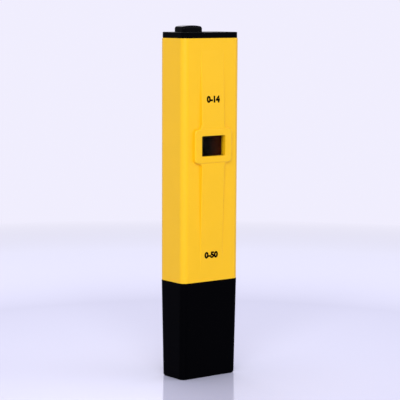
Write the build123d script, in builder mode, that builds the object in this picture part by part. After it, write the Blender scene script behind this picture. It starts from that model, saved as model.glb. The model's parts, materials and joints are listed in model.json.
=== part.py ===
from build123d import *
import os
from math import radians, sqrt, tan

os.makedirs("parts", exist_ok=True)

# All sizes are in millimetres. The pen stands on its cap, +Z up, with its front facing -Y.

# Housing: width and depth at the top rim, corner radius in plan, mould draft and wall
pen_w = 30.0
pen_d = 17.2
corner_r = 2.8
draft = 0.06
wall = 1.5
rim_r = 0.25
cap_h = 41.7
housing_h = 103.0

# Front rib and window frame: rise is measured from the front face at the top rim
rib_w = 12.0
rib_rise = 1.1
rib_foot = 4.5
rib_head = 4.7
rib_edge_r = 0.3
frame_w = 19.6
frame_h = 14.5
frame_rise = 1.4
frame_edge_r = 0.5
frame_drop = 45.2
shoulder_r = 1.85
window_w = 12.4
window_h = 8.6
window_r = 0.5
window_edge_r = 0.2

# Clearances: glued or pressed pieces, sliding pieces, the cap on its band, and turning pieces
seat_gap = 0.05
slide_gap = 0.12
grip_gap = 0.12
turn_gap = 0.05
touch_gap = 0.03

# Lens and display
lens_recess = 1.5
lens_rim = 2.6
lens_rim_t = 0.6
film_t = 0.2
glass_t = 1.1
lcd_w = 19.0
lcd_h = 14.0
ledge_h = 2.2
zebra_h = 1.6
zebra_w = 16.5
lcd_wall_x = 1.4
lcd_wall_z = 1.7
peg_r = 0.6
peg_head_r = 1.0
peg_head_t = 0.5

# Main board, with the distance of its lower edge above the electrode holder's plug
board_w = 25.4
board_t = 1.6
board_back_y = 0.0
board_lift = 9.5
board_h = 52.8
guide_t = 0.9
guide_lap = 0.5
driver_r = 5.0
driver_h = 1.5
chip_l = 4.9
chip_w = 3.9
chip_t = 1.5
leg_pitch = 1.27
leg_w = 0.4
leg_t = 0.2
leg_reach = 1.1
resistor_l = 2.0
resistor_w = 1.25
resistor_t = 0.55
resistor_pitch = 2.4
capacitor_t = 1.1
capacitor_pitch = 4.2

# Calibration trimmer and the port in the back wall that reaches it
port_r = 1.75
port_drop = 64.7
trimmer_side = 6.6
trimmer_t = 4.2
rotor_r = 2.0
rotor_rise = 0.5
rotor_sink = 1.2
rotor_pin_r = 0.6
rotor_pin_l = 1.3
slot_w = 0.7
slot_depth = 0.7

# Lid, its skirt and the snap hooks that hold the tray
lid_inset = 0.25
lid_t = 2.5
lid_edge_r = 0.35
skirt_h = 5.0
skirt_t = 1.2
hook_w = 5.0
hook_t = 0.8
hook_h = 4.0
barb = 0.7
barb_drop = 1.5

# Button: plan size, centre, rise above the lid, travel and flange
button_l = 10.4
button_w = 7.0
button_x = -6.2
button_rise = 2.8
button_crown = 0.5
button_corner_r = 1.3
button_edge_r = 1.15
button_wall = 1.2
button_gap = 0.15
button_travel = 1.5
flange_t = 1.2
flange_out = 1.0
boss_r = 3.4

# Switch under the button
switch_side = 8.0
switch_h = 6.5
switch_drop = 5.7
plunger_side = 3.0
plunger_in = 3.5
socket_depth = 1.4
pin_w = 0.6
pin_pitch = 2.5
spring_r = 2.9
spring_wire_r = 0.2
spring_turns = 3

# Button cells and the tray that holds them
cell_r = 5.8
cell_h = 5.4
cell_count = 4
cell_x = 6.7
cell_cap_r = 4.7
cell_cap_h = 0.3
cell_edge_r = 0.4
cell_gap = 0.1
tray_head_t = 1.8
tray_floor_t = 1.2
tray_wall = 1.0
tray_web = 1.1
shelf_t = 1.5
mouth_w = 11.2
strip_t = 0.3
strip_w = 3.0
crest_h = 1.05
tail_y = 5.35
contact_run = 4.4

# Electrode holder: plug in the housing, band gripped by the cap, guard round the bulb
plug_h = 8.3
band_h = 10.7
guard_gap = 0.5
guard_low = 12.0
guard_edge_r = 0.8
well_w = 20.0
well_d = 9.0
well_h = 12.0
tongue_w = 3.2
tongue_t = 2.0
tongue_h = 16.0
tongue_x = 10.4
screw_r = 0.8
screw_head_r = 1.6
screw_head_t = 1.0
screw_lift = 13.0

# Electrode and temperature sensor
tube_r = 4.0
tube_wall = 0.8
tube_low = 21.0
tube_foot_t = 1.5
tube_proud = 4.0
bulb_r = 3.2
stem_r = 2.0
glass_wall = 0.4
stem_h = 26.0
wire_r = 0.25
wire_x = 2.6
wire_low = 30.0
junction_r = 0.5
junction_h = 2.3
seal_h = 4.0
lead_r = 0.4
sensor_r = 1.5
sensor_x = 7.5
sensor_low = 14.5
sensor_h = 33.5
sensor_lead_r = 0.3
lead_rise = 2.4
lead_land = 5.0

# Protective cap: size at its foot, wall, floor and sponge
foot_w = 29.05
foot_d = 15.2
foot_r = 2.5
foot_edge_r = 0.9
cap_wall = 1.4
cap_floor = 1.6
sponge_h = 4.4
sponge_gap = 0.3
sponge_edge_r = 0.8

# Heights and faces worked out from the values above
housing_top = cap_h + housing_h
cavity_w = pen_w - 2 * wall
cavity_d = pen_d - 2 * wall
cavity_r = corner_r - wall
inner_y = -cavity_d / 2
seam_w = pen_w - 2 * housing_h * tan(radians(draft))
seam_d = pen_d - 2 * housing_h * tan(radians(draft))
frame_z = housing_top - frame_drop
frame_y = -pen_d / 2 - frame_rise
rib_y = -pen_d / 2 - rib_rise
rib_low = cap_h + rib_foot
rib_high = housing_top - rib_head
lens_y = frame_y + lens_recess
film_y = inner_y + lens_rim_t
front_glass_y = film_y + film_t
rear_glass_y = front_glass_y + glass_t
reflector_y = rear_glass_y + glass_t
board_y = board_back_y - board_t
plug_top = cap_h + plug_h
board_low = plug_top + board_lift
board_top = board_low + board_h
guard_mouth = guard_low + well_h
band_low = cap_h - band_h
port_z = housing_top - port_drop
cell_high = housing_top - skirt_h - tray_head_t - strip_t
cell_low = cell_high - cell_count * cell_h
tray_top = housing_top - skirt_h
head_low = tray_top - tray_head_t
bay_low = cell_low - crest_h - touch_gap
tray_low = bay_low - tray_floor_t
tray_w = cavity_w - 2 * slide_gap
tray_d = cavity_d - 2 * slide_gap
tray_r = cavity_r - slide_gap
switch_top = housing_top - switch_drop
switch_low = switch_top - switch_h
shelf_low = switch_low - shelf_t
button_low = housing_top - touch_gap - flange_t
button_top = housing_top + lid_t + button_rise
plunger_top = button_low + socket_depth
pad_z = tray_low - strip_t / 2
strap_z = shelf_low - strip_t
strap_x = button_x - pin_pitch
link_x = button_x + pin_pitch
tube_top = plug_top + tube_proud


def facing_front(y):
    """Plane that faces the pen's front at the given y; a negative extrude goes into the pen."""
    return Plane.XZ.offset(-y)


def front_face_y(z):
    """The drafted front face at height z."""
    return -pen_d / 2 + (housing_top - z) * tan(radians(draft))


def cap_inside(z, gap):
    """Width, depth and corner radius of the cap's inside at height z, less a gap all round."""
    share = z / cap_h
    width = foot_w + (seam_w - foot_w) * share - 2 * (cap_wall + gap)
    depth = foot_d + (seam_d - foot_d) * share - 2 * (cap_wall + gap)
    return width, depth, foot_r - cap_wall


def bend_radii(points):
    """The largest arcs that the runs between the points allow."""
    runs = [b - a for a, b in zip(points, points[1:])]
    radii = []
    for before, after in zip(runs, runs[1:]):
        half_turn = radians(before.get_angle(after)) / 2
        radii.append(0.45 * min(before.length, after.length) / tan(half_turn))
    return radii


# Rib along the front: a wedge that climbs from both ends to the window, with curved shoulders
with BuildPart() as rib:
    with BuildSketch(Plane.YZ):
        with BuildLine():
            Polyline(
                (inner_y - wall / 2, rib_low),
                (front_face_y(rib_low), rib_low),
                (rib_y, frame_z - frame_h / 2 - 2 * shoulder_r),
                (rib_y, frame_z + frame_h / 2 + 2 * shoulder_r),
                (front_face_y(rib_high), rib_high),
                (inner_y - wall / 2, rib_high),
                close=True,
            )
        make_face()
    extrude(amount=frame_w, both=True)
    with BuildSketch(facing_front(rib_y)) as outline:
        with Locations((0, frame_z)):
            Rectangle(rib_w, 2 * housing_h)
            Rectangle(frame_w, frame_h)
        corners = outline.vertices().group_by(Axis.Y)
        fillet(corners[1] + corners[2], shoulder_r)
    extrude(amount=-wall - rib_rise, mode=Mode.INTERSECT)
    crest = rib.faces().filter_by(lambda f: f.normal_at().Y < -0.9).edges()
    fillet(crest.filter_by(lambda e: abs(e.center().X) > rib_w / 2 - rib_edge_r), rib_edge_r)

# Frame round the window, a little prouder than the rib
with BuildPart() as window_frame:
    with BuildSketch(facing_front(frame_y)):
        with Locations((0, frame_z)):
            RectangleRounded(frame_w, frame_h, shoulder_r)
    extrude(amount=-frame_rise - wall / 2)
    fillet(window_frame.faces().sort_by(Axis.Y)[0].edges(), frame_edge_r)

# Housing: drafted sleeve with the rib and frame on its front, open at both ends
with BuildPart() as housing:
    with BuildSketch(Plane.XY.offset(housing_top)):
        RectangleRounded(pen_w, pen_d, corner_r)
    extrude(amount=-housing_h, taper=draft)
    fillet(housing.faces().sort_by(Axis.Z)[-1].edges(), rim_r)
    add(rib.part)
    add(window_frame.part)
    with BuildSketch(Plane.XY.offset(cap_h)):
        RectangleRounded(cavity_w, cavity_d, cavity_r)
    extrude(amount=housing_h, mode=Mode.SUBTRACT)
    with BuildSketch(facing_front(frame_y)):
        with Locations((0, frame_z)):
            RectangleRounded(window_w, window_h, window_r)
    extrude(amount=-frame_rise - 2 * wall, mode=Mode.SUBTRACT)
    window_front = housing.faces().sort_by(Axis.Y)[0]
    fillet(window_front.inner_wires()[0].edges(), window_edge_r)
    # Guide ribs that hold the board's side edges
    guide_x = board_w / 2 - guide_lap
    guide_l = cavity_w / 2 + wall / 2 - guide_x
    with BuildSketch(Plane.XY.offset(plug_top)):
        for side in (-1, 1):
            for y in (board_y - seat_gap - guide_t / 2, board_back_y + seat_gap + guide_t / 2):
                with Locations((side * (guide_x + guide_l / 2), y)):
                    Rectangle(guide_l, guide_t)
    extrude(amount=board_top - plug_top)
    # Calibration port in the back wall
    with BuildSketch(facing_front(pen_d / 2)):
        with Locations((0, port_z)):
            Circle(port_r)
    extrude(amount=2 * wall, mode=Mode.SUBTRACT)
housing.part.label = "housing"
export_step(housing.part, "parts/housing.step")

# Clear lens, glued behind the front wall with its boss in the window
with BuildPart() as window_lens:
    with BuildSketch(facing_front(lens_y)):
        with Locations((0, frame_z)):
            RectangleRounded(window_w - 2 * seat_gap, window_h - 2 * seat_gap, window_r - seat_gap)
    extrude(amount=lens_y - inner_y)
    with BuildSketch(facing_front(inner_y)):
        with Locations((0, frame_z)):
            RectangleRounded(window_w + 2 * lens_rim, window_h + 2 * lens_rim, lens_rim / 2)
    extrude(amount=-lens_rim_t)
window_lens.part.label = "window_lens"
export_step(window_lens.part, "parts/window_lens.step")

# Display: front film, front glass with contact ledges, rear glass and reflector
with BuildPart() as lcd_front_polariser:
    with BuildSketch(facing_front(film_y)):
        with Locations((0, frame_z)):
            Rectangle(lcd_w - 1, lcd_h - 1)
    extrude(amount=-film_t)
lcd_front_polariser.part.label = "lcd_front_polariser"
export_step(lcd_front_polariser.part, "parts/lcd_front_polariser.step")

with BuildPart() as lcd_front_glass:
    with BuildSketch(facing_front(front_glass_y)):
        with Locations((0, frame_z)):
            Rectangle(lcd_w, lcd_h)
    extrude(amount=-glass_t)
lcd_front_glass.part.label = "lcd_front_glass"
export_step(lcd_front_glass.part, "parts/lcd_front_glass.step")

with BuildPart() as lcd_rear_glass:
    with BuildSketch(facing_front(rear_glass_y)):
        with Locations((0, frame_z)):
            Rectangle(lcd_w, lcd_h - 2 * ledge_h)
    extrude(amount=-glass_t)
lcd_rear_glass.part.label = "lcd_rear_glass"
export_step(lcd_rear_glass.part, "parts/lcd_rear_glass.step")

with BuildPart() as lcd_rear_reflector:
    with BuildSketch(facing_front(reflector_y)):
        with Locations((0, frame_z)):
            Rectangle(lcd_w - 1, lcd_h - 2 * ledge_h - 0.5)
    extrude(amount=-film_t)
lcd_rear_reflector.part.label = "lcd_rear_reflector"
export_step(lcd_rear_reflector.part, "parts/lcd_rear_reflector.step")

# Conductive rubber strips from the glass ledges to the board
with BuildPart() as zebra_strips:
    with BuildSketch(facing_front(rear_glass_y)):
        for side in (-1, 1):
            with Locations((0, frame_z + side * (lcd_h - ledge_h) / 2)):
                Rectangle(zebra_w, zebra_h)
    extrude(amount=rear_glass_y - board_y)
zebra_strips.part.label = "zebra_strips"
export_step(zebra_strips.part, "parts/zebra_strips.step")

# Plastic ring round the display, with pegs staked through the board
holder_w = lcd_w + 2 * (seat_gap + lcd_wall_x)
holder_h = lcd_h + 2 * (seat_gap + lcd_wall_z)
peg_x = holder_w / 2 - lcd_wall_x / 2
peg_z = holder_h / 2 - lcd_wall_z / 2
with BuildPart() as lcd_holder:
    with BuildSketch(facing_front(film_y)):
        with Locations((0, frame_z)):
            RectangleRounded(holder_w, holder_h, lcd_wall_x / 2)
            Rectangle(lcd_w + 2 * seat_gap, lcd_h + 2 * seat_gap, mode=Mode.SUBTRACT)
    extrude(amount=film_y - board_y)
    with BuildSketch(facing_front(board_y)):
        with Locations((0, frame_z)):
            with GridLocations(2 * peg_x, 2 * peg_z, 2, 2):
                Circle(peg_r)
    extrude(amount=-board_t)
    with BuildSketch(facing_front(board_back_y)):
        with Locations((0, frame_z)):
            with GridLocations(2 * peg_x, 2 * peg_z, 2, 2):
                Circle(peg_head_r)
    extrude(amount=-peg_head_t)
lcd_holder.part.label = "lcd_holder"
export_step(lcd_holder.part, "parts/lcd_holder.step")

# Main board, with holes for the display pegs and its two screws
screw_z = plug_top + screw_lift
with BuildPart() as main_board:
    with BuildSketch(facing_front(board_y)):
        with Locations((0, board_low + board_h / 2)):
            Rectangle(board_w, board_h)
        with Locations((0, frame_z)):
            with GridLocations(2 * peg_x, 2 * peg_z, 2, 2):
                Circle(peg_r + seat_gap, mode=Mode.SUBTRACT)
        with Locations((-tongue_x, screw_z), (tongue_x, screw_z)):
            Circle(screw_r + seat_gap, mode=Mode.SUBTRACT)
    extrude(amount=-board_t)
main_board.part.label = "main_board"
export_step(main_board.part, "parts/main_board.step")

# Epoxy dome over the display driver, on the board's back
with BuildPart() as display_driver:
    with BuildSketch(Plane.XY.offset(frame_z)):
        with BuildLine():
            Line((0, board_back_y + driver_h), (0, board_back_y))
            Line((0, board_back_y), (driver_r, board_back_y))
            RadiusArc(
                (driver_r, board_back_y),
                (0, board_back_y + driver_h),
                -(driver_r**2 + driver_h**2) / (2 * driver_h),
            )
        make_face()
    revolve(axis=Axis((0, 0, frame_z), (0, 1, 0)))
display_driver.part.label = "display_driver"
export_step(display_driver.part, "parts/display_driver.step")

# Amplifier with gull-wing legs, on the board's front
chip_x = -4.5
chip_z = port_z
with BuildPart() as amplifier_chip:
    chip_y = board_y - leg_t - chip_t
    with BuildSketch(facing_front(chip_y)):
        with Locations((chip_x, chip_z)):
            Rectangle(chip_w, chip_l)
    extrude(amount=-chip_t)
    chamfer(amplifier_chip.faces().sort_by(Axis.Y)[0].edges(), leg_t)
    for leg in range(4):
        leg_z = chip_z + (leg - 1.5) * leg_pitch
        with BuildSketch(Plane.XY.offset(leg_z - leg_w / 2)):
            for side in (-1, 1):
                with BuildLine():
                    FilletPolyline(
                        (chip_x + side * chip_w / 4, chip_y + chip_t / 2),
                        (chip_x + side * (chip_w / 2 + leg_reach / 2), chip_y + chip_t / 2),
                        (chip_x + side * (chip_w / 2 + leg_reach / 2), board_y - leg_t / 2),
                        (chip_x + side * (chip_w / 2 + leg_reach), board_y - leg_t / 2),
                        radius=leg_t,
                    )
                trace(line_width=leg_t)
        extrude(amount=leg_w)
amplifier_chip.part.label = "amplifier_chip"
export_step(amplifier_chip.part, "parts/amplifier_chip.step")

# Small surface parts on the board's front
with BuildPart() as chip_resistors:
    with BuildSketch(facing_front(board_y)):
        with Locations((chip_x + 8, chip_z)):
            with GridLocations(resistor_l * 2, resistor_pitch, 2, 3):
                Rectangle(resistor_l, resistor_w)
    extrude(amount=resistor_t)
chip_resistors.part.label = "chip_resistors"
export_step(chip_resistors.part, "parts/chip_resistors.step")

with BuildPart() as chip_capacitors:
    with BuildSketch(facing_front(board_y)):
        with Locations((0, chip_z - chip_l - resistor_pitch)):
            with GridLocations(capacitor_pitch, 1, 4, 1):
                Rectangle(resistor_l, resistor_w)
    extrude(amount=capacitor_t)
chip_capacitors.part.label = "chip_capacitors"
export_step(chip_capacitors.part, "parts/chip_capacitors.step")

# Trimmer on the board's back: a body with a well for the rotor
rotor_seat = board_back_y + trimmer_t - rotor_sink
with BuildPart() as trimmer_body:
    with BuildSketch(facing_front(board_back_y)):
        with Locations((0, port_z)):
            Rectangle(trimmer_side, trimmer_side)
    extrude(amount=-trimmer_t)
    chamfer(trimmer_body.edges().filter_by(Axis.Y), trimmer_side / 10)
    with BuildSketch(facing_front(board_back_y + trimmer_t)):
        with Locations((0, port_z)):
            Circle(rotor_r + turn_gap)
    extrude(amount=rotor_sink, mode=Mode.SUBTRACT)
    with BuildSketch(facing_front(rotor_seat)):
        with Locations((0, port_z)):
            Circle(rotor_pin_r + turn_gap)
    extrude(amount=rotor_pin_l + turn_gap, mode=Mode.SUBTRACT)
trimmer_body.part.label = "trimmer_body"
export_step(trimmer_body.part, "parts/trimmer_body.step")

with BuildPart() as trimmer_rotor:
    rotor_back = rotor_seat + turn_gap
    rotor_face = board_back_y + trimmer_t + rotor_rise
    with BuildSketch(facing_front(rotor_back)):
        with Locations((0, port_z)):
            Circle(rotor_r)
    extrude(amount=rotor_back - rotor_face)
    chamfer(trimmer_rotor.faces().sort_by(Axis.Y)[-1].edges(), rotor_rise / 2)
    with BuildSketch(facing_front(rotor_back)):
        with Locations((0, port_z)):
            Circle(rotor_pin_r)
    extrude(amount=rotor_pin_l - turn_gap)
    with BuildSketch(facing_front(rotor_face)):
        with Locations((0, port_z)):
            Rectangle(2 * rotor_r + 1, slot_w)
    extrude(amount=slot_depth, mode=Mode.SUBTRACT)
trimmer_rotor.part.label = "trimmer_rotor"
export_step(trimmer_rotor.part, "parts/trimmer_rotor.step")

# Leaf springs on the board's top edge, touching the pads under the tray
with BuildPart() as supply_contacts:
    for x in (strap_x, cell_x):
        with BuildSketch(Plane.YZ.offset(x - strip_w / 2)):
            with BuildLine():
                foot_y = board_back_y + strip_t / 2
                FilletPolyline(
                    (foot_y, board_top - 3.6),
                    (foot_y, board_top - 1.6),
                    (foot_y + 4, board_top - 0.8),
                    (foot_y + 2.4, tray_low - strip_t),
                    (foot_y + 0.8, tray_low - strip_t - 0.7),
                    radius=0.8,
                )
            trace(line_width=strip_t)
        extrude(amount=strip_w)
supply_contacts.part.label = "supply_contacts"
export_step(supply_contacts.part, "parts/supply_contacts.step")

# Two screws from the board into the electrode holder's tongues
with BuildPart() as board_screws:
    with BuildSketch(facing_front(board_y)):
        with Locations((-tongue_x, screw_z), (tongue_x, screw_z)):
            Circle(screw_head_r)
    extrude(amount=screw_head_t)
    with BuildSketch(facing_front(board_y)):
        with Locations((-tongue_x, screw_z), (tongue_x, screw_z)):
            Circle(screw_r)
    extrude(amount=-board_t - tongue_t)
    with BuildSketch(facing_front(board_y - screw_head_t)):
        with Locations((-tongue_x, screw_z), (tongue_x, screw_z)):
            Rectangle(2 * screw_r, screw_head_t / 3)
            Rectangle(screw_head_t / 3, 2 * screw_r)
    extrude(amount=-screw_head_t / 2, mode=Mode.SUBTRACT)
board_screws.part.label = "board_screws"
export_step(board_screws.part, "parts/board_screws.step")

# Lid: a plate on the housing's rim with a skirt inside it
lid_w = pen_w - 2 * lid_inset
lid_d = pen_d - 2 * lid_inset
button_z = housing_top + lid_t
barb_low = tray_top + hook_h - barb_drop
with BuildPart() as top_cap:
    with BuildSketch(Plane.XY.offset(housing_top)):
        RectangleRounded(lid_w, lid_d, corner_r - lid_inset)
    extrude(amount=lid_t)
    fillet(top_cap.faces().sort_by(Axis.Z)[-1].edges(), lid_edge_r)
    with BuildSketch(Plane.XY.offset(housing_top)):
        RectangleRounded(tray_w, tray_d, tray_r)
        Rectangle(tray_w - 2 * skirt_t, tray_d - 2 * skirt_t, mode=Mode.SUBTRACT)
    extrude(amount=-skirt_h)
    # Opening for the button
    with BuildSketch(Plane.XY.offset(button_z)):
        with Locations((button_x, 0)):
            RectangleRounded(
                button_l + 2 * button_gap, button_w + 2 * button_gap, button_corner_r + button_gap
            )
    extrude(amount=-lid_t, mode=Mode.SUBTRACT)
    # Windows in the skirt that catch the tray's hooks
    with BuildSketch(facing_front(-tray_d / 2)):
        for x in (button_x, cell_x):
            with Locations((x, barb_low + barb_drop / 2)):
                Rectangle(hook_w + 4 * slide_gap, barb_drop + 2 * slide_gap)
    extrude(amount=-tray_d, mode=Mode.SUBTRACT)
top_cap.part.label = "top_cap"
export_step(top_cap.part, "parts/top_cap.step")

# Battery tray: open bay for the cells on the right, bay for the switch on the left
web_x = cell_x - cell_r - cell_gap - tray_web
left_bay_w = tray_w / 2 - tray_wall + web_x
left_bay_x = web_x - left_bay_w / 2
bay_depth = tray_d - tray_wall
with BuildPart() as battery_tray:
    with BuildSketch(Plane.XY.offset(tray_low)):
        RectangleRounded(tray_w, tray_d, tray_r)
    extrude(amount=tray_top - tray_low)
    # Round seat for the cells, with lips at the mouth that they snap past
    with BuildSketch(Plane.XY.offset(bay_low)):
        with Locations((cell_x, 0)):
            Circle(cell_r + cell_gap)
        with Locations((cell_x, -tray_d / 2)):
            Rectangle(mouth_w, tray_d)
    extrude(amount=head_low - bay_low, mode=Mode.SUBTRACT)
    # Left bay below and above the switch's shelf
    with BuildSketch(Plane.XY.offset(bay_low)):
        with Locations((left_bay_x, -tray_wall / 2)):
            Rectangle(left_bay_w, bay_depth)
    extrude(amount=shelf_low - bay_low, mode=Mode.SUBTRACT)
    with BuildSketch(Plane.XY.offset(switch_low)):
        with Locations((left_bay_x, -tray_wall / 2)):
            Rectangle(left_bay_w, bay_depth)
    extrude(amount=head_low - switch_low, mode=Mode.SUBTRACT)
    # Opening in the head for the switch, and slots in the shelf for its pins
    with BuildSketch(Plane.XY.offset(head_low)):
        with Locations((button_x, 0)):
            Rectangle(switch_side + 2 * seat_gap, switch_side + 2 * seat_gap)
    extrude(amount=tray_head_t, mode=Mode.SUBTRACT)
    with BuildSketch(Plane.XY.offset(shelf_low)):
        with Locations((button_x, pin_pitch / 2), (button_x, -pin_pitch / 2)):
            Rectangle(2 * pin_pitch + 2 * pin_w, 2 * pin_w)
        # Slot for the strip that comes down from the cells
        with Locations((web_x - strip_t, 0)):
            Rectangle(4 * strip_t, strip_w + 2 * cell_gap)
    extrude(amount=shelf_t, mode=Mode.SUBTRACT)
    # Notch in the web's top for the same strip
    with BuildSketch(Plane.XY.offset(head_low)):
        with Locations((web_x + tray_web / 2, 0)):
            Rectangle(2 * tray_web, strip_w + 2 * cell_gap)
    extrude(amount=-strip_t - cell_gap, mode=Mode.SUBTRACT)
    # Slots in the floor for the two tails
    with BuildSketch(Plane.XY.offset(tray_low)):
        with Locations((strap_x, tail_y), (cell_x, tail_y)):
            Rectangle(strip_w + 2 * cell_gap, strip_t + 2 * cell_gap)
    extrude(amount=tray_floor_t, mode=Mode.SUBTRACT)
    # Snap hooks that catch the lid's skirt
    hook_y = tray_d / 2 - skirt_t - slide_gap
    for x in (button_x, cell_x):
        with BuildSketch(Plane.YZ.offset(x - hook_w / 2)):
            with BuildLine():
                Polyline(
                    (hook_y - hook_t, tray_top - tray_head_t / 2),
                    (hook_y, tray_top - tray_head_t / 2),
                    (hook_y, barb_low),
                    (hook_y + barb, barb_low),
                    (hook_y, barb_low + barb_drop),
                    (hook_y - hook_t, barb_low + barb_drop),
                    close=True,
                )
            make_face()
            mirror(about=Plane.YZ)
        extrude(amount=hook_w)
battery_tray.part.label = "battery_tray"
export_step(battery_tray.part, "parts/battery_tray.step")

# Four equal button cells, each with its can at the top and its smaller pole below
for number in range(cell_count):
    base = cell_low + number * cell_h
    with BuildPart() as battery_cell:
        with BuildSketch(Plane.XY.offset(base)):
            with Locations((cell_x, 0)):
                Circle(cell_cap_r)
        extrude(amount=cell_cap_h)
        with BuildSketch(Plane.XY.offset(base + cell_cap_h)):
            with Locations((cell_x, 0)):
                Circle(cell_r)
        extrude(amount=cell_h - cell_cap_h)
        fillet(battery_cell.faces().sort_by(Axis.Z)[-1].edges(), cell_edge_r)
        fillet(battery_cell.edges().filter_by(GeomType.CIRCLE).group_by(Axis.Z)[1].sort_by(
            lambda e: -e.length)[0], cell_edge_r)
    battery_cell.part.label = f"battery_cell_{number + 1}"
    export_step(battery_cell.part, f"parts/battery_cell_{number + 1}.step")

# Contact over the cells, with a strip down to the switch's right pins
with BuildPart() as positive_contact:
    with BuildSketch(Plane.XZ.offset(-strip_w / 2)):
        with BuildLine():
            drop_x = web_x - strip_t
            FilletPolyline(
                (cell_x + cell_r / 2, cell_high + strip_t / 2),
                (drop_x, cell_high + strip_t / 2),
                (drop_x, strap_z + strip_t / 2),
                (link_x - pin_w, strap_z + strip_t / 2),
                radius=strip_t,
            )
        trace(line_width=strip_t)
    extrude(amount=strip_w)
positive_contact.part.label = "positive_contact"
export_step(positive_contact.part, "parts/positive_contact.step")

# Leaf spring under the cells, with a tail through the floor to the right pad
with BuildPart() as negative_contact:
    with BuildSketch(Plane.YZ.offset(cell_x - strip_w / 2)):
        with BuildLine():
            rest_z = bay_low + strip_t / 2
            FilletPolyline(
                (-contact_run, rest_z),
                (-0.75 * contact_run, rest_z),
                (0, cell_low - strip_t / 2),
                (0.75 * contact_run, rest_z),
                (tail_y, rest_z),
                (tail_y, pad_z),
                (tail_y - contact_run, pad_z),
                radius=[1, 2.5, 1, strip_t, strip_t],
            )
        trace(line_width=strip_t)
    extrude(amount=strip_w)
negative_contact.part.label = "negative_contact"
export_step(negative_contact.part, "parts/negative_contact.step")

# Strip from the switch's left pins to the left pad
with BuildPart() as switch_strap:
    with BuildSketch(Plane.YZ.offset(strap_x - strip_w / 2)):
        with BuildLine():
            FilletPolyline(
                (-pin_pitch, strap_z + strip_t / 2),
                (tail_y, strap_z + strip_t / 2),
                (tail_y, pad_z),
                (tail_y - contact_run, pad_z),
                radius=strip_t,
            )
        trace(line_width=strip_t)
    extrude(amount=strip_w)
switch_strap.part.label = "switch_strap"
export_step(switch_strap.part, "parts/switch_strap.step")

# Push switch: body with a square bore, pins, plunger and return spring
bore_side = plunger_side + 4 * turn_gap
plunger_low = switch_top - plunger_in
with BuildPart() as switch_body:
    with BuildSketch(Plane.XY.offset(switch_low)):
        with Locations((button_x, 0)):
            Rectangle(switch_side, switch_side)
    extrude(amount=switch_h)
    fillet(switch_body.edges().filter_by(Axis.Z), pin_w / 2)
    with BuildSketch(Plane.XY.offset(switch_top)):
        with Locations((button_x, 0)):
            Rectangle(bore_side, bore_side)
    extrude(amount=-plunger_in - button_travel - 2 * turn_gap, mode=Mode.SUBTRACT)
switch_body.part.label = "switch_body"
export_step(switch_body.part, "parts/switch_body.step")

with BuildPart() as switch_pins:
    with BuildSketch(Plane.XY.offset(switch_low)):
        with Locations((button_x, 0)):
            with GridLocations(pin_pitch, pin_pitch, 3, 2):
                Rectangle(pin_w, pin_w / 2)
    extrude(amount=strap_z + strip_t - switch_low)
switch_pins.part.label = "switch_pins"
export_step(switch_pins.part, "parts/switch_pins.step")

with BuildPart() as switch_plunger:
    with BuildSketch(Plane.XY.offset(plunger_low)):
        with Locations((button_x, 0)):
            Rectangle(plunger_side, plunger_side)
    extrude(amount=plunger_top - touch_gap - plunger_low)
    chamfer(switch_plunger.faces().sort_by(Axis.Z)[-1].edges(), 2 * turn_gap)
switch_plunger.part.label = "switch_plunger"
export_step(switch_plunger.part, "parts/switch_plunger.step")

spring_low = switch_top + spring_wire_r + touch_gap
spring_h = button_low - switch_top - 2 * (spring_wire_r + touch_gap)
with BuildPart() as return_spring:
    with BuildLine():
        Helix(spring_h / spring_turns, spring_h, spring_r, center=(button_x, 0, spring_low))
    with BuildSketch(Plane((button_x + spring_r, 0, spring_low), z_dir=(0, 1, 0))):
        Circle(spring_wire_r)
    sweep(is_frenet=True)
return_spring.part.label = "return_spring"
export_step(return_spring.part, "parts/return_spring.step")

# Power button: crowned block, hollow below, with a flange that the lid holds down
with BuildPart() as power_button:
    with BuildSketch(Plane.XZ.offset(-button_w / 2)):
        with BuildLine():
            left = button_x - button_l / 2
            right = button_x + button_l / 2
            Polyline(
                (left, button_top - button_crown),
                (left, button_low),
                (right, button_low),
                (right, button_top - button_crown),
            )
            ThreePointArc(
                (left, button_top - button_crown),
                (button_x, button_top),
                (right, button_top - button_crown),
            )
        make_face()
    extrude(amount=button_w)
    fillet(power_button.edges().filter_by(Axis.Z), button_corner_r)
    fillet(power_button.faces().sort_by(Axis.Z)[-1].edges(), button_edge_r)
    with BuildSketch(Plane.XY.offset(button_low)):
        with Locations((button_x, 0)):
            Rectangle(button_l, button_w + 2 * flange_out)
    extrude(amount=flange_t)
    with BuildSketch(Plane.XY.offset(button_low)):
        with Locations((button_x, 0)):
            Rectangle(button_l - 2 * button_wall, button_w - 2 * button_wall)
            Circle(boss_r, mode=Mode.SUBTRACT)
    extrude(amount=button_top - button_crown - 2 * button_wall - button_low, mode=Mode.SUBTRACT)
    with BuildSketch(Plane.XY.offset(button_low)):
        with Locations((button_x, 0)):
            Rectangle(plunger_side + 2 * turn_gap, plunger_side + 2 * turn_gap)
    extrude(amount=socket_depth, mode=Mode.SUBTRACT)
power_button.part.label = "power_button"
export_step(power_button.part, "parts/power_button.step")

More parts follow.
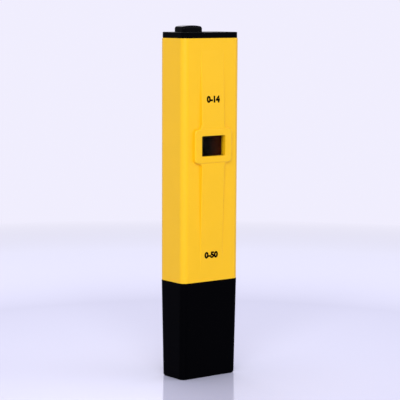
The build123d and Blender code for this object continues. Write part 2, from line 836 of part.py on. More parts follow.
# Electrode holder: plug in the housing, band for the cap, guard with a well round the bulb
with BuildPart() as electrode_holder:
    with BuildSketch(Plane.XY.offset(cap_h)):
        RectangleRounded(cavity_w - 2 * seat_gap, cavity_d - 2 * seat_gap, cavity_r - seat_gap)
    extrude(amount=plug_h)
    with BuildSketch(Plane.XY.offset(cap_h)):
        RectangleRounded(*cap_inside(cap_h, grip_gap))
    with BuildSketch(Plane.XY.offset(band_low)):
        RectangleRounded(*cap_inside(band_low, grip_gap))
    loft()
    with BuildSketch(Plane.XY.offset(band_low)):
        RectangleRounded(*cap_inside(band_low, guard_gap))
    with BuildSketch(Plane.XY.offset(guard_low)):
        RectangleRounded(*cap_inside(guard_low, guard_gap))
    loft()
    fillet(electrode_holder.faces().sort_by(Axis.Z)[0].edges(), guard_edge_r)
    with BuildSketch(Plane.XY.offset(guard_low)):
        SlotOverall(well_w, well_d)
    extrude(amount=well_h, mode=Mode.SUBTRACT)
    # Tongues behind the board
    with BuildSketch(Plane.XY.offset(plug_top)):
        with Locations((-tongue_x, board_back_y + tongue_t / 2), (tongue_x, board_back_y + tongue_t / 2)):
            Rectangle(tongue_w, tongue_t)
    extrude(amount=tongue_h)
    with BuildSketch(facing_front(board_back_y)):
        with Locations((-tongue_x, screw_z), (tongue_x, screw_z)):
            Circle(screw_r + touch_gap)
    extrude(amount=-tongue_t, mode=Mode.SUBTRACT)
    # Bores for the electrode and the temperature sensor
    with BuildSketch(Plane.XY.offset(guard_mouth)):
        Circle(tube_r + seat_gap)
        with Locations((sensor_x, 0)):
            Circle(sensor_r + seat_gap)
    extrude(amount=plug_top - guard_mouth, mode=Mode.SUBTRACT)
electrode_holder.part.label = "electrode_holder"
export_step(electrode_holder.part, "parts/electrode_holder.step")

# Electrode body: tube with a foot that closes round the glass stem
with BuildPart() as electrode_body:
    with BuildSketch(Plane.XY.offset(tube_low)):
        Circle(tube_r)
    extrude(amount=tube_top - tube_low)
    chamfer(electrode_body.faces().sort_by(Axis.Z)[0].edges(), tube_wall / 2)
    with BuildSketch(Plane.XY.offset(tube_low + tube_foot_t)):
        Circle(tube_r - tube_wall)
    extrude(amount=tube_top - tube_low, mode=Mode.SUBTRACT)
    with BuildSketch(Plane.XY.offset(tube_low)):
        Circle(stem_r + touch_gap)
        with Locations((-wire_x, 0)):
            Circle(junction_r + touch_gap)
    extrude(amount=tube_foot_t, mode=Mode.SUBTRACT)
electrode_body.part.label = "electrode_body"
export_step(electrode_body.part, "parts/electrode_body.step")

# Glass bulb blown on the end of a thin glass stem
bulb_z = tube_low - sqrt(bulb_r**2 - stem_r**2)
with BuildPart() as glass_bulb:
    with BuildSketch(Plane.XY.offset(bulb_z)):
        Circle(stem_r)
    extrude(amount=stem_h)
    with Locations((0, 0, bulb_z)):
        Sphere(bulb_r)
    with BuildSketch(Plane.XY.offset(bulb_z)):
        Circle(stem_r - glass_wall)
    extrude(amount=stem_h, mode=Mode.SUBTRACT)
    with Locations((0, 0, bulb_z)):
        Sphere(bulb_r - glass_wall, mode=Mode.SUBTRACT)
glass_bulb.part.label = "glass_bulb"
export_step(glass_bulb.part, "parts/glass_bulb.step")

# Silver wires in the stem and in the space round it
seal_low = tube_top - seal_h
with BuildPart() as sensing_wire:
    with BuildSketch(Plane.XY.offset(bulb_z)):
        Circle(wire_r)
    extrude(amount=seal_low - bulb_z)
sensing_wire.part.label = "sensing_wire"
export_step(sensing_wire.part, "parts/sensing_wire.step")

with BuildPart() as reference_wire:
    with BuildSketch(Plane.XY.offset(wire_low)):
        with Locations((wire_x, 0)):
            Circle(wire_r)
    extrude(amount=seal_low - wire_low)
reference_wire.part.label = "reference_wire"
export_step(reference_wire.part, "parts/reference_wire.step")

# Porous pin through the electrode's foot
with BuildPart() as reference_junction:
    with BuildSketch(Plane.XY.offset(tube_low - touch_gap)):
        with Locations((-wire_x, 0)):
            Circle(junction_r)
    extrude(amount=junction_h)
reference_junction.part.label = "reference_junction"
export_step(reference_junction.part, "parts/reference_junction.step")

# Rubber seal in the tube's top, with a hole for each lead
with BuildPart() as electrode_seal:
    with BuildSketch(Plane.XY.offset(seal_low)):
        Circle(tube_r - tube_wall - touch_gap)
        with Locations((0, 0), (wire_x - lead_r, 0)):
            Circle(lead_r + touch_gap, mode=Mode.SUBTRACT)
    extrude(amount=seal_h)
electrode_seal.part.label = "electrode_seal"
export_step(electrode_seal.part, "parts/electrode_seal.step")


def lead_route(x, low, exit_z, radius):
    """Points of a lead that leaves upwards at exit_z, then swings round to lie on the board."""
    lie_y = board_y - radius - touch_gap
    return [
        Vector(x, 0, low),
        Vector(x, 0, exit_z + lead_rise),
        Vector(x, lie_y - 2 * radius, board_low + 0.5),
        Vector(x, lie_y, board_low + lead_land),
        Vector(x, lie_y, board_low + lead_land + 4),
    ]


# Leads from the electrode and from the temperature sensor to the board
with BuildPart() as electrode_leads:
    for x in (0, wire_x - lead_r):
        route = lead_route(x, seal_low, tube_top, lead_r)
        print("lead radii", [round(r, 1) for r in bend_radii(route)])
        with BuildLine() as lead_path:
            FilletPolyline(*route, radius=bend_radii(route))
        with BuildSketch(Plane.XY.offset(seal_low)):
            with Locations((x, 0)):
                Circle(lead_r)
        sweep(path=lead_path.line)
electrode_leads.part.label = "electrode_leads"
export_step(electrode_leads.part, "parts/electrode_leads.step")

# Temperature sensor: closed steel tube with a rounded tip
with BuildPart() as temperature_sensor:
    with BuildSketch(Plane.XY.offset(sensor_low)):
        with Locations((sensor_x, 0)):
            Circle(sensor_r)
    extrude(amount=sensor_h)
    fillet(temperature_sensor.faces().sort_by(Axis.Z)[0].edges(), 0.9 * sensor_r)
temperature_sensor.part.label = "temperature_sensor"
export_step(temperature_sensor.part, "parts/temperature_sensor.step")

sensor_top = sensor_low + sensor_h
with BuildPart() as sensor_leads:
    for x in (sensor_x - 2 * sensor_lead_r, sensor_x + 2 * sensor_lead_r):
        route = lead_route(x, sensor_top, plug_top, sensor_lead_r)
        print("lead radii", [round(r, 1) for r in bend_radii(route)])
        with BuildLine() as lead_path:
            FilletPolyline(*route, radius=bend_radii(route))
        with BuildSketch(Plane.XY.offset(sensor_top)):
            with Locations((x, 0)):
                Circle(sensor_lead_r)
        sweep(path=lead_path.line)
sensor_leads.part.label = "sensor_leads"
export_step(sensor_leads.part, "parts/sensor_leads.step")

# Protective cap: tapered cup that the pen stands on
with BuildPart() as protective_cap:
    with BuildSketch(Plane.XY):
        RectangleRounded(foot_w, foot_d, foot_r)
    with BuildSketch(Plane.XY.offset(cap_h)):
        RectangleRounded(seam_w, seam_d, foot_r)
    loft()
    fillet(protective_cap.faces().sort_by(Axis.Z)[0].edges(), foot_edge_r)
    with BuildSketch(Plane.XY.offset(cap_floor)):
        RectangleRounded(*cap_inside(cap_floor, 0))
    with BuildSketch(Plane.XY.offset(cap_h)):
        RectangleRounded(*cap_inside(cap_h, 0))
    loft(mode=Mode.SUBTRACT)
protective_cap.part.label = "protective_cap"
export_step(protective_cap.part, "parts/protective_cap.step")

# Sponge in the cap's floor
with BuildPart() as cap_sponge:
    with BuildSketch(Plane.XY.offset(cap_floor + touch_gap)):
        RectangleRounded(*cap_inside(cap_floor, sponge_gap))
    extrude(amount=sponge_h)
    fillet(cap_sponge.faces().sort_by(Axis.Z)[-1].edges(), sponge_edge_r)
cap_sponge.part.label = "cap_sponge"
export_step(cap_sponge.part, "parts/cap_sponge.step")
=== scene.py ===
import json
from math import copysign, cos, pi, radians, sin

import bmesh
import bpy
from mathutils import Matrix, Vector, noise
from mathutils.bvhtree import BVHTree


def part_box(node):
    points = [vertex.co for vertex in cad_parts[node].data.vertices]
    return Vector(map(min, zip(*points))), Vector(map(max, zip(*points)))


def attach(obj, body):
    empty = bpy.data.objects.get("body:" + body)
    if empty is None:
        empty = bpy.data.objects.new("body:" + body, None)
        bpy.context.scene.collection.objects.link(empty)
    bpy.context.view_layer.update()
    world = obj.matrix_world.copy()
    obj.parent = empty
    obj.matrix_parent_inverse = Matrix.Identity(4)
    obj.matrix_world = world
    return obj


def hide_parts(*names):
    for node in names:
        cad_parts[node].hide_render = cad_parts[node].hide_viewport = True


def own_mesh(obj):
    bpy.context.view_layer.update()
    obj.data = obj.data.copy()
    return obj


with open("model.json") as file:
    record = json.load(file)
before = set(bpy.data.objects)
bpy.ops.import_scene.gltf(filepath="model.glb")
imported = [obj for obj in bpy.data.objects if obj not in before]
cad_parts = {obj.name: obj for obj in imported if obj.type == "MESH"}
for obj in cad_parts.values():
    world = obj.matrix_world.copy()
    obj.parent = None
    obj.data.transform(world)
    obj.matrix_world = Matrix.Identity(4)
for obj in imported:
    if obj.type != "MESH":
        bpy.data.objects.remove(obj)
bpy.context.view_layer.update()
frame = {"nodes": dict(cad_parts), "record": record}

MM = 0.001
nodes = frame["nodes"]

# Camera, at the photograph's viewing angle
CAMERA_DISTANCE = 716.937 * MM
CAMERA_YAW = radians(37.4666)
CAMERA_PITCH = radians(6.6754)
CAMERA_ROLL = radians(-0.2430)
CAMERA_AIM = Vector((0.2177, -0.1669, 75.602)) * MM
CAMERA_LENS = 150.851
SENSOR_WIDTH = 36.0
CLIP_START = 0.01
CLIP_END = 100.0

# Colours, linear
YELLOW = (0.93, 0.525, 0.006)
BLACK = (0.0007, 0.0007, 0.0013)
INK = (0.0012, 0.0005, 0.0004)
PALE_SKY = (0.875, 0.855, 0.99)
PALE_FLOOR = (0.83, 0.82, 0.97)
# Floor colour where the painted contact shadow is deepest
FLOOR_SHADE = (0.7, 0.69, 0.88)

# Floor: a disc, with a glow whose colour changes with the distance from the pen, in metres
FLOOR_RADIUS = 12.0
FLOOR_SIDES = 96
FLOOR_SPECULAR = 0.42
FLOOR_ROUGHNESS = 0.1
FADE_START = 0.16
FADE_END = 0.52
FLOOR_GLOW = (
    (0.07, (0.06, 0.06, 0.15)),
    (0.18, (0.0, 0.0, 0.08)),
    (0.37, (0.545, 0.539, 0.668)),
    (FADE_END, PALE_SKY),
)

# The floor's painted contact shadow: reach, how fast it deepens, and the faint clouds in its tone
SHADOW_REACH = 0.14
SHADOW_POWER = 2.5
SHADOW_SAMPLES = 16
CLOUD_SIZE = 0.5
CLOUD_AMOUNT = 0.02

# Light: the world's, then each softbox by name, place, width, height and watts
WORLD_TINT = (0.93, 0.95, 1.0)
WORLD_LIGHT = 0.38
LIGHT_AIM = (0, 0, 0.075)
SOFTBOXES = (
    ("key", (-1.15, -1.4, 1.05), 1.4, 1.4, 32),
    ("side", (-1.6, 0.1, 0.7), 1.0, 1.6, 2),
    ("right", (1.3, -1.2, 0.8), 0.8, 1.4, 4),
    ("back", (0.7, 1.7, 1.1), 1.2, 1.2, 9),
)

# The window pane bends light less than real acrylic, so that the inner wall shows through it
PANE_INDEX = 1.08

# Printed numbers: piece name, text, middle (x, z), height and width
PRINTS = (
    ("numbers_above", "0-14", (0.0, 119.15 * MM), 3.0 * MM, 7.0 * MM),
    ("numbers_below", "0-50", (-0.2 * MM, 53.0 * MM), 2.9 * MM, 7.2 * MM),
)
PRINT_THICK = 0.02 * MM
PRINT_SINK = 0.015 * MM

# The prints' text is made at size 1 and then fitted: outline growth, curve steps, weld distance
TEXT_BOLD = 0.068
TEXT_STEPS = 4
TEXT_WELD = 0.0005

# Display: digit places and sizes, and how far the bars stand on the film
DIGIT_PLACES = (-3.7 * MM, 0.0, 3.7 * MM)
POINT_PLACES = (-1.85 * MM, 1.85 * MM)
DIGIT_W = 2.0 * MM
DIGIT_H = 4.6 * MM
DIGIT_BAR = 0.42 * MM
BAR_END = 0.6 * DIGIT_BAR
SEGMENT_RISE = 0.04 * MM

# Foam pad: rows up its side, as height and width in shares of half the box, then its top
PAD_SHOULDER = 0.93
PAD_ROWS = (
    (-1.0, PAD_SHOULDER),
    (-0.86, 0.985),
    (-0.4, 1.0),
    (0.35, 0.995),
    (0.75, 0.975),
    (0.93, PAD_SHOULDER),
)
PAD_TOP = 0.98
PAD_SIDES = 96
PAD_RINGS = 12
PAD_CORNER_POWER = 2 / 7

# The pad's soft dents: size, depth, and the share by which a full dent pulls the side in
DENT_SIZE = 1.6 * MM
DENT_DEPTH = 0.16 * MM
DENT_PULL = 0.02

# Return spring: wire radius, turns, and steps per turn and round the wire
SPRING_WIRE_R = 0.2 * MM
SPRING_TURNS = 3
SPRING_STEPS = 36
SPRING_SIDES = 12


def add_camera():
    data = bpy.data.cameras.new("camera")
    data.sensor_width = SENSOR_WIDTH
    data.lens = CAMERA_LENS
    data.clip_start = CLIP_START
    data.clip_end = CLIP_END
    camera = bpy.data.objects.new("camera", data)
    bpy.context.scene.collection.objects.link(camera)
    view = Vector((
        sin(CAMERA_YAW) * cos(CAMERA_PITCH),
        cos(CAMERA_YAW) * cos(CAMERA_PITCH),
        -sin(CAMERA_PITCH),
    ))
    level = Vector((cos(CAMERA_YAW), -sin(CAMERA_YAW), 0))
    right = Matrix.Rotation(CAMERA_ROLL, 3, view) @ level
    up = right.cross(view)
    turn = Matrix((right, up, -view)).transposed().to_4x4()
    camera.matrix_world = Matrix.Translation(CAMERA_AIM - view * CAMERA_DISTANCE) @ turn
    bpy.context.scene.camera = camera


add_camera()


def add_math(tree, operation, *values):
    """The output of a new math node, fed by numbers and by the outputs of other nodes."""
    made = tree.nodes.new("ShaderNodeMath")
    made.operation = operation
    for socket, value in zip(made.inputs, values):
        if isinstance(value, bpy.types.NodeSocket):
            tree.links.new(value, socket)
        else:
            socket.default_value = value
    return made.outputs["Value"]


def seen_ray(tree):
    """1 for a ray from the camera, a reflection or clear glass, and 0 for one that only lights."""
    path = tree.nodes.new("ShaderNodeLightPath").outputs
    seen = add_math(tree, "MAXIMUM", path["Is Camera Ray"], path["Is Glossy Ray"])
    return add_math(tree, "MAXIMUM", seen, path["Is Transmission Ray"])


class Recipe:
    """Builds one material's nodes round its Principled shader."""

    def __init__(self, name):
        self.material = bpy.data.materials.new(name)
        self.material.use_nodes = True
        self.tree = self.material.node_tree
        self.shader = self.tree.nodes["Principled BSDF"]
        self.place = self.tree.nodes.new("ShaderNodeTexCoord").outputs["Object"]

    def node(self, kind, **settings):
        made = self.tree.nodes.new(kind)
        for key, value in settings.items():
            setattr(made, key, value)
        return made

    def link(self, source, target):
        self.tree.links.new(source, target)

    def set(self, **values):
        for key, value in values.items():
            self.shader.inputs[key.replace("_", " ")].default_value = value

    def math(self, operation, *values):
        return add_math(self.tree, operation, *values)

    def noise(self, size, detail=2.0, roughness=0.5):
        made = self.node("ShaderNodeTexNoise")
        made.inputs["Scale"].default_value = 1 / size
        made.inputs["Detail"].default_value = detail
        made.inputs["Roughness"].default_value = roughness
        self.link(self.place, made.inputs["Vector"])
        return made.outputs["Fac"]

    def ramp(self, source, stops):
        made = self.node("ShaderNodeValToRGB")
        elements = made.color_ramp.elements
        while len(elements) < len(stops):
            elements.new(0.5)
        for element, (position, colour) in zip(elements, stops):
            element.position = position
            element.color = (*colour, 1.0)
        self.link(source, made.inputs["Fac"])
        return made.outputs["Color"]

    def scaled(self, source, low, high):
        made = self.node("ShaderNodeMapRange")
        made.inputs["To Min"].default_value = low
        made.inputs["To Max"].default_value = high
        self.link(source, made.inputs["Value"])
        return made.outputs["Result"]

    def bump(self, height, depth, below=None):
        made = self.node("ShaderNodeBump")
        made.inputs["Distance"].default_value = depth
        self.link(height, made.inputs["Height"])
        if below is not None:
            self.link(below, made.inputs["Normal"])
        self.link(made.outputs["Normal"], self.shader.inputs["Normal"])
        return made.outputs["Normal"]

    def colour(self, source):
        self.link(source, self.shader.inputs["Base Color"])

    def roughness(self, source):
        self.link(source, self.shader.inputs["Roughness"])


def shade(colour, factor):
    return tuple(min(1.0, c * factor) for c in colour)


def soft_floor():
    """Pale floor: real and painted shadow near the pen, and the background further off."""
    recipe = Recipe("floor")
    recipe.set(Specular_IOR_Level=FLOOR_SPECULAR, Roughness=FLOOR_ROUGHNESS)
    length = recipe.node("ShaderNodeVectorMath", operation="LENGTH")
    recipe.link(recipe.place, length.inputs[0])
    away = length.outputs["Value"]

    # Ambient occlusion paints a contact shadow into the floor's colour and into its glow
    hidden = recipe.node("ShaderNodeAmbientOcclusion", samples=SHADOW_SAMPLES)
    hidden.inputs["Distance"].default_value = SHADOW_REACH
    lit = recipe.math("POWER", hidden.outputs["AO"], SHADOW_POWER)
    painted_shade_and_clouds = recipe.math("MULTIPLY_ADD", recipe.noise(CLOUD_SIZE), CLOUD_AMOUNT, lit)
    recipe.colour(recipe.ramp(painted_shade_and_clouds, [(0.0, FLOOR_SHADE), (1.0, PALE_FLOOR)]))

    seen = seen_ray(recipe.tree)
    glow = recipe.node("ShaderNodeEmission")
    stops = [(distance / FADE_END, colour) for distance, colour in FLOOR_GLOW]
    recipe.link(recipe.ramp(recipe.math("DIVIDE", away, FADE_END), stops), glow.inputs["Color"])
    recipe.link(recipe.math("MULTIPLY", seen, lit), glow.inputs["Strength"])

    far = recipe.node("ShaderNodeMapRange", interpolation_type="SMOOTHSTEP")
    far.inputs["From Min"].default_value = FADE_START
    far.inputs["From Max"].default_value = FADE_END
    recipe.link(away, far.inputs["Value"])
    faded = recipe.node("ShaderNodeMixShader")
    recipe.link(recipe.math("MULTIPLY", seen, far.outputs["Result"]), faded.inputs["Fac"])
    recipe.link(recipe.shader.outputs[0], faded.inputs[1])
    both = recipe.node("ShaderNodeAddShader")
    recipe.link(faded.outputs[0], both.inputs[0])
    recipe.link(glow.outputs[0], both.inputs[1])
    recipe.link(both.outputs[0], recipe.tree.nodes["Material Output"].inputs["Surface"])
    return recipe.material


def add_floor():
    turns = [2 * pi * k / FLOOR_SIDES for k in range(FLOOR_SIDES)]
    rim = [Vector((FLOOR_RADIUS * cos(turn), FLOOR_RADIUS * sin(turn), 0)) for turn in turns]
    mesh = bpy.data.meshes.new("floor")
    mesh.from_pydata(rim, [], [list(range(FLOOR_SIDES))])
    mesh.materials.append(soft_floor())
    floor = bpy.data.objects.new("floor", mesh)
    bpy.context.scene.collection.objects.link(floor)


def add_world():
    """Soft light from all round, and a pale background for the rays that are seen."""
    world = bpy.data.worlds.new("studio")
    bpy.context.scene.world = world
    world.use_nodes = True
    tree = world.node_tree
    light = tree.nodes["Background"]
    light.inputs["Color"].default_value = (*WORLD_TINT, 1.0)
    light.inputs["Strength"].default_value = WORLD_LIGHT
    backdrop = tree.nodes.new("ShaderNodeBackground")
    backdrop.inputs["Color"].default_value = (*PALE_SKY, 1.0)
    mix = tree.nodes.new("ShaderNodeMixShader")
    tree.links.new(seen_ray(tree), mix.inputs["Fac"])
    tree.links.new(light.outputs[0], mix.inputs[1])
    tree.links.new(backdrop.outputs[0], mix.inputs[2])
    tree.links.new(mix.outputs[0], tree.nodes["World Output"].inputs["Surface"])


def add_softbox(name, spot, width, height, power):
    data = bpy.data.lights.new(name, "AREA")
    data.shape = "RECTANGLE"
    data.size = width
    data.size_y = height
    data.energy = power
    light = bpy.data.objects.new(name, data)
    light.location = spot
    light.rotation_mode = "QUATERNION"
    light.rotation_quaternion = (Vector(LIGHT_AIM) - Vector(spot)).to_track_quat("-Z", "Y")
    bpy.context.scene.collection.objects.link(light)


add_floor()
add_world()
for softbox in SOFTBOXES:
    add_softbox(*softbox)
bpy.context.scene.view_settings.view_transform = "Standard"


def moulded(name, colour, rough, specular, spread=0.03, depth=0.004 * MM):
    """Moulded plastic: fine skin, with slow changes of tone and gloss."""
    recipe = Recipe(name)
    tones = [(0.3, shade(colour, 1 - spread)), (0.7, shade(colour, 1 + spread))]
    recipe.colour(recipe.ramp(recipe.noise(size=14 * MM, detail=3), tones))
    gloss = recipe.noise(size=5 * MM)
    recipe.roughness(recipe.scaled(gloss, low=rough - 0.04, high=rough + 0.04))
    recipe.bump(recipe.noise(size=0.35 * MM, detail=3), depth)
    recipe.set(Specular_IOR_Level=specular)
    return recipe.material


def metal(name, colour, rough):
    """Rolled or polished metal: fine marks that change its tone, gloss and height together."""
    recipe = Recipe(name)
    marks = recipe.noise(size=0.4 * MM, detail=4)
    tones = [(0.25, shade(colour, 0.86)), (0.75, shade(colour, 1.06))]
    recipe.colour(recipe.ramp(marks, tones))
    recipe.roughness(recipe.scaled(marks, low=rough - 0.06, high=rough + 0.08))
    recipe.bump(marks, depth=0.002 * MM)
    recipe.set(Metallic=1.0)
    return recipe.material


def clear(name, tint, rough, index):
    """Clear plastic or glass, with a faint unevenness."""
    recipe = Recipe(name)
    tones = [(0.3, shade(tint, 0.98)), (0.7, tint)]
    recipe.colour(recipe.ramp(recipe.noise(size=6 * MM), tones))
    recipe.roughness(recipe.scaled(recipe.noise(size=3 * MM), low=rough, high=rough + 0.02))
    recipe.bump(recipe.noise(size=4 * MM), depth=0.003 * MM)
    recipe.set(Transmission_Weight=1.0, IOR=index)
    return recipe.material


def board_look():
    """Green solder mask, with paler lines where copper runs lie below it."""
    recipe = Recipe("board_green")
    run_pitch = 9 * MM
    runs = recipe.node("ShaderNodeTexBrick", offset=0.37, squash=0.6)
    runs.inputs["Scale"].default_value = 1 / run_pitch
    runs.inputs["Mortar Size"].default_value = 0.035
    runs.inputs["Color1"].default_value = (0.012, 0.095, 0.034, 1.0)
    runs.inputs["Color2"].default_value = (0.016, 0.11, 0.04, 1.0)
    runs.inputs["Mortar"].default_value = (0.05, 0.22, 0.07, 1.0)
    turned = recipe.node("ShaderNodeMapping")
    turned.inputs["Rotation"].default_value = (radians(90), 0, 0)
    recipe.link(recipe.place, turned.inputs["Vector"])
    recipe.link(turned.outputs["Vector"], runs.inputs["Vector"])
    recipe.colour(runs.outputs["Color"])
    recipe.roughness(recipe.scaled(recipe.noise(size=2 * MM), low=0.28, high=0.4))
    recipe.bump(runs.outputs["Fac"], depth=0.02 * MM)
    recipe.set(Specular_IOR_Level=0.45)
    return recipe.material


def foam_look():
    """Open foam: pores of two sizes over a mottled pale tone, with painted shade in the pores."""
    recipe = Recipe("sponge_foam")
    pore_size = 0.7 * MM
    pores = recipe.node("ShaderNodeTexVoronoi", feature="F1")
    pores.inputs["Scale"].default_value = 1 / pore_size
    recipe.link(recipe.place, pores.inputs["Vector"])
    small = recipe.noise(size=0.25 * MM, detail=4, roughness=0.7)
    # The dark end of the ramp is painted shade inside the pores
    recipe.colour(recipe.ramp(pores.outputs["Distance"], [
        (0.05, (0.34, 0.29, 0.17)),
        (0.35, (0.74, 0.68, 0.45)),
        (0.8, (0.84, 0.79, 0.58)),
    ]))
    recipe.roughness(recipe.scaled(small, low=0.8, high=0.95))
    coarse = recipe.bump(pores.outputs["Distance"], depth=0.25 * MM)
    recipe.bump(small, depth=0.1 * MM, below=coarse)
    recipe.set(Specular_IOR_Level=0.15)
    return recipe.material


def film_look():
    """Dark display film: near black on the left, with painted warm light towards the right edge.
    """
    recipe = Recipe("display_film")
    edge = 6 * MM
    mottle_share = 0.3
    across = recipe.node("ShaderNodeSeparateXYZ")
    recipe.link(recipe.place, across.inputs[0])
    side = recipe.node("ShaderNodeMapRange")
    side.inputs["From Min"].default_value = -edge
    side.inputs["From Max"].default_value = edge
    recipe.link(across.outputs["X"], side.inputs["Value"])
    mottle = recipe.noise(size=2.5 * MM, detail=3)
    painted_warmth_and_mottle = recipe.math("MULTIPLY_ADD", mottle, mottle_share, side.outputs["Result"])
    # The warm right-hand end is painted light from the yellow housing; the mottle varies it
    recipe.colour(recipe.ramp(painted_warmth_and_mottle, [
        (0.25, (0.0005, 0.0006, 0.0004)),
        (0.65, (0.0016, 0.0009, 0.0005)),
        (1.0, (0.04, 0.007, 0.002)),
    ]))
    recipe.roughness(recipe.scaled(recipe.noise(size=1.5 * MM), low=0.2, high=0.3))
    recipe.bump(recipe.noise(size=0.3 * MM), depth=0.002 * MM)
    recipe.set(Specular_IOR_Level=0.005)
    return recipe.material


SLOT_LOOKS = {
    "yellow_plastic": moulded("moulded_yellow", YELLOW, rough=0.36, specular=0.32, spread=0.012),
    "black_plastic": moulded("moulded_black", BLACK, rough=0.34, specular=0.008),
    "clear_plastic": clear("lens_clear", (0.97, 0.98, 0.98), rough=0.0, index=PANE_INDEX),
    "display_glass": clear("display_glass", (0.85, 0.88, 0.86), rough=0.02, index=1.52),
    "display_film": film_look(),
    "contact_rubber": moulded("contact_rubber", (0.03, 0.03, 0.034), rough=0.7, specular=0.2),
    "board": board_look(),
    "epoxy": moulded("epoxy_black", (0.012, 0.012, 0.012), rough=0.3, specular=0.4),
    "ceramic": moulded("ceramic_tan", (0.55, 0.44, 0.3), rough=0.6, specular=0.4),
    "trimmer_blue": moulded("trimmer_blue", (0.02, 0.09, 0.38), rough=0.4, specular=0.4),
    "contact_metal": metal("contact_metal", (0.86, 0.78, 0.55), rough=0.3),
    "steel": metal("steel", (0.62, 0.62, 0.61), rough=0.3),
    "cell_steel": metal("cell_steel", (0.5, 0.5, 0.49), rough=0.26),
    "electrode_glass": clear("electrode_glass", (0.96, 0.98, 0.98), rough=0.0, index=1.5),
    "tube_plastic": moulded("tube_grey", (0.42, 0.44, 0.46), rough=0.35, specular=0.4),
    "silver": metal("silver", (0.85, 0.85, 0.83), rough=0.25),
    "seal_rubber": moulded("seal_rubber", (0.03, 0.03, 0.03), rough=0.75, specular=0.2),
    "lead_insulation": moulded("lead_red", (0.45, 0.02, 0.015), rough=0.5, specular=0.3),
    "sponge": foam_look(),
}
OWN_LOOKS = {
    "power_button": moulded("button_black", BLACK, rough=0.12, specular=0.035, depth=0.002 * MM),
    "top_cap": moulded("lid_black", BLACK, rough=0.3, specular=0.015),
}
PRINT_LOOK = moulded("print_ink", INK, rough=0.5, specular=0.01, spread=0.1)
SEGMENT_LOOK = moulded(
    "display_segments", (0.012, 0.013, 0.009), rough=0.35, specular=0.01, spread=0.1)


def dress():
    for part in frame["record"]["subparts"]:
        name = part["node"]
        mesh = nodes[name].data
        mesh.materials.clear()
        mesh.materials.append(OWN_LOOKS.get(name, SLOT_LOOKS[part["material_slot"]]))


dress()


def piece(name, mesh, look, body):
    mesh.materials.clear()
    mesh.materials.append(look)
    made = bpy.data.objects.new(name, mesh)
    bpy.context.scene.collection.objects.link(made)
    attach(made, body)
    return made


def mesh_of(name, points, polygons):
    mesh = bpy.data.meshes.new(name)
    mesh.from_pydata(points, [], polygons)
    return mesh


def housing_tree():
    mesh = nodes["housing"].data
    return BVHTree.FromPolygons([v.co for v in mesh.vertices], [p.vertices for p in mesh.polygons])


def front_of(tree, x, z):
    """The y of the housing's front surface at (x, z), seen from a metre in front."""
    hit = tree.ray_cast(Vector((x, -1, z)), Vector((0, 1, 0)))[0]
    return hit.y


def text_mesh(name, words):
    """The words as a welded mesh at size 1, with its front at plus z and its back at minus z."""
    text = bpy.data.curves.new(name, "FONT")
    text.body = words
    text.align_x = "CENTER"
    text.align_y = "CENTER"
    text.size = 1.0
    text.offset = TEXT_BOLD
    text.extrude = 0.5
    text.resolution_u = TEXT_STEPS
    maker = bpy.data.objects.new(name + "_maker", text)
    mesh = bpy.data.meshes.new_from_object(maker)
    bpy.data.objects.remove(maker)
    mesh.name = name
    joined = bmesh.new()
    joined.from_mesh(mesh)
    bmesh.ops.remove_doubles(joined, verts=joined.verts, dist=TEXT_WELD)
    joined.to_mesh(mesh)
    joined.free()
    return mesh


def add_print(name, words, centre, height, width, tree):
    """Printed numbers: a thin skin of ink that follows the surface below it."""
    mesh = text_mesh(name, words)
    xs = [v.co.x for v in mesh.vertices]
    ys = [v.co.y for v in mesh.vertices]
    wide = width / (max(xs) - min(xs))
    tall = height / (max(ys) - min(ys))
    middle = ((max(xs) + min(xs)) / 2, (max(ys) + min(ys)) / 2)
    for vertex in mesh.vertices:
        x = centre[0] + (vertex.co.x - middle[0]) * wide
        z = centre[1] + (vertex.co.y - middle[1]) * tall
        lift = PRINT_THICK if vertex.co.z > 0 else -PRINT_SINK
        vertex.co = (x, front_of(tree, x, z) - lift, z)
    piece(name, mesh, PRINT_LOOK, "instrument")


def add_bar(points, polygons, outline, low, high):
    """Adds one raised bar with this outline of (x, z), from low to high along y."""
    start = len(points)
    count = len(outline)
    points.extend((x, y, z) for y in (low, high) for x, z in outline)
    polygons.append([start + k for k in range(count)])
    polygons.append([start + count + k for k in reversed(range(count))])
    for k in range(count):
        after = (k + 1) % count
        polygons.append([start + after, start + k, start + count + k, start + count + after])


def rectangle(left, foot, right, head):
    return [(left, foot), (right, foot), (right, head), (left, head)]


def seven_bars(x, z):
    """Outlines of the seven bars of a digit with its centre at (x, z)."""
    tip = DIGIT_BAR / 2
    outlines = []
    for line in (z - DIGIT_H / 2, z, z + DIGIT_H / 2):
        left, right = x - DIGIT_W / 2 + BAR_END, x + DIGIT_W / 2 - BAR_END
        outlines.append([
            (left, line), (left + tip, line - tip), (right - tip, line - tip),
            (right, line), (right - tip, line + tip), (left + tip, line + tip),
        ])
    for line in (x - DIGIT_W / 2, x + DIGIT_W / 2):
        for low, high in ((-DIGIT_H / 2, 0), (0, DIGIT_H / 2)):
            foot, head = z + low + BAR_END, z + high - BAR_END
            outlines.append([
                (line, foot), (line + tip, foot + tip), (line + tip, head - tip),
                (line, head), (line - tip, head - tip), (line - tip, foot + tip),
            ])
    return outlines


def add_display():
    """The display's front film, set back a hair, with its unlit bars standing on it."""
    low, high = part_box("lcd_front_polariser")
    face = low[1] + SEGMENT_RISE
    points, polygons = [], []
    add_bar(points, polygons, rectangle(low[0], low[2], high[0], high[2]), face, high[1])
    plate = mesh_of("display_film", points, polygons)
    film = piece("display_film", plate, SLOT_LOOKS["display_film"], "instrument")
    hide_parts("lcd_front_polariser")

    middle = (low[2] + high[2]) / 2
    outlines = []
    for x in DIGIT_PLACES:
        outlines += seven_bars(x, middle)
    dot = DIGIT_BAR / 2
    foot = middle - DIGIT_H / 2
    for x in POINT_PLACES:
        outlines.append(rectangle(x - dot, foot - dot, x + dot, foot + dot))
    points, polygons = [], []
    for outline in outlines:
        add_bar(points, polygons, outline, low[1], face)
    bars = mesh_of("display_bars", points, polygons)
    piece("display_bars", bars, SEGMENT_LOOK, "instrument")


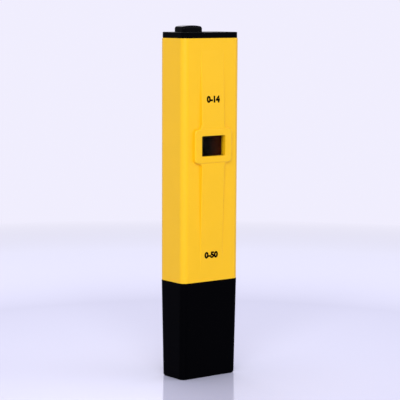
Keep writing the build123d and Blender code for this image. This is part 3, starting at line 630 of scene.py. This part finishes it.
def pad_point(centre, half, turn, reach, level):
    """A point of the pad on a rounded rectangle, pushed in a little by soft noise."""
    across, along = cos(2 * pi * turn), sin(2 * pi * turn)
    x = half.x * reach * copysign(abs(across) ** PAD_CORNER_POWER, across)
    y = half.y * reach * copysign(abs(along) ** PAD_CORNER_POWER, along)
    dent = 0.0
    if level > -1.0:
        dent = 0.5 + 0.5 * noise.noise(Vector((x, y, level * half.z)) / DENT_SIZE)
    inward = 1 - DENT_PULL * dent
    z = centre.z + half.z * level - DENT_DEPTH * dent
    return (centre.x + x * inward, centre.y + y * inward, z)


def quads_between(lower, upper, count):
    """Quads between two rings of points, given by the number of each ring's first point."""
    for k in range(count):
        after = (k + 1) % count
        yield [lower + k, lower + after, upper + after, upper + k]


def add_sponge():
    """Foam pad in the cap's floor: soft edges and a slightly uneven top."""
    low, high = (Vector(corner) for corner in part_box("cap_sponge"))
    centre = (low + high) / 2
    half = (high - low) / 2
    points, polygons = [], []

    def add_ring(level, reach):
        first = len(points)
        for k in range(PAD_SIDES):
            points.append(pad_point(centre, half, k / PAD_SIDES, reach, level))
        return first

    rows = [add_ring(level, reach) for level, reach in PAD_ROWS]
    for lower, upper in zip(rows, rows[1:]):
        polygons.extend(quads_between(lower, upper, PAD_SIDES))
    for edge, level in ((rows[0], -1.0), (rows[-1], PAD_TOP)):
        for ring in range(1, PAD_RINGS):
            inner = add_ring(level, PAD_SHOULDER * (1 - ring / PAD_RINGS))
            lower, upper = (edge, inner) if level > 0 else (inner, edge)
            polygons.extend(quads_between(lower, upper, PAD_SIDES))
            edge = inner
        tip = len(points)
        points.append(tuple(centre + Vector((0, 0, half.z * level))))
        for k in range(PAD_SIDES):
            fan = [edge + k, edge + (k + 1) % PAD_SIDES, tip]
            polygons.append(fan if level > 0 else fan[::-1])
    mesh = mesh_of("foam_pad", points, polygons)
    mesh.shade_smooth()
    pad = piece("foam_pad", mesh, SLOT_LOOKS["sponge"], "cap")
    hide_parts("cap_sponge")


def add_spring():
    """The button's return spring: a round-wire coil."""
    low, high = (Vector(corner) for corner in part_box("return_spring"))
    middle = (low + high) / 2
    coil_r = (high.x - low.x) / 2 - SPRING_WIRE_R
    foot, head = low.z + SPRING_WIRE_R, high.z - SPRING_WIRE_R
    climb = (head - foot) / (2 * pi * SPRING_TURNS)
    steps = SPRING_TURNS * SPRING_STEPS
    points, polygons = [], []
    for step in range(steps + 1):
        turn = 2 * pi * SPRING_TURNS * step / steps
        out = Vector((cos(turn), sin(turn), 0))
        along = Vector((-sin(turn) * coil_r, cos(turn) * coil_r, climb)).normalized()
        up = out.cross(along)
        centre = Vector((middle.x, middle.y, foot + climb * turn)) + out * coil_r
        for k in range(SPRING_SIDES):
            lean = 2 * pi * k / SPRING_SIDES
            points.append(centre + (out * cos(lean) + up * sin(lean)) * SPRING_WIRE_R)
    for base in range(0, steps * SPRING_SIDES, SPRING_SIDES):
        above = base + SPRING_SIDES
        for k in range(SPRING_SIDES):
            after = (k + 1) % SPRING_SIDES
            polygons.append([base + k, above + k, above + after, base + after])
    polygons.append(list(range(SPRING_SIDES)))
    polygons.append([steps * SPRING_SIDES + k for k in reversed(range(SPRING_SIDES))])
    mesh = mesh_of("return_spring_coil", points, polygons)
    mesh.shade_smooth()
    coil = piece("return_spring_coil", mesh, SLOT_LOOKS["steel"], "battery_unit")
    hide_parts("return_spring")
    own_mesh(coil)


surface = housing_tree()
for label in PRINTS:
    add_print(*label, surface)
add_display()
add_sponge()
add_spring()
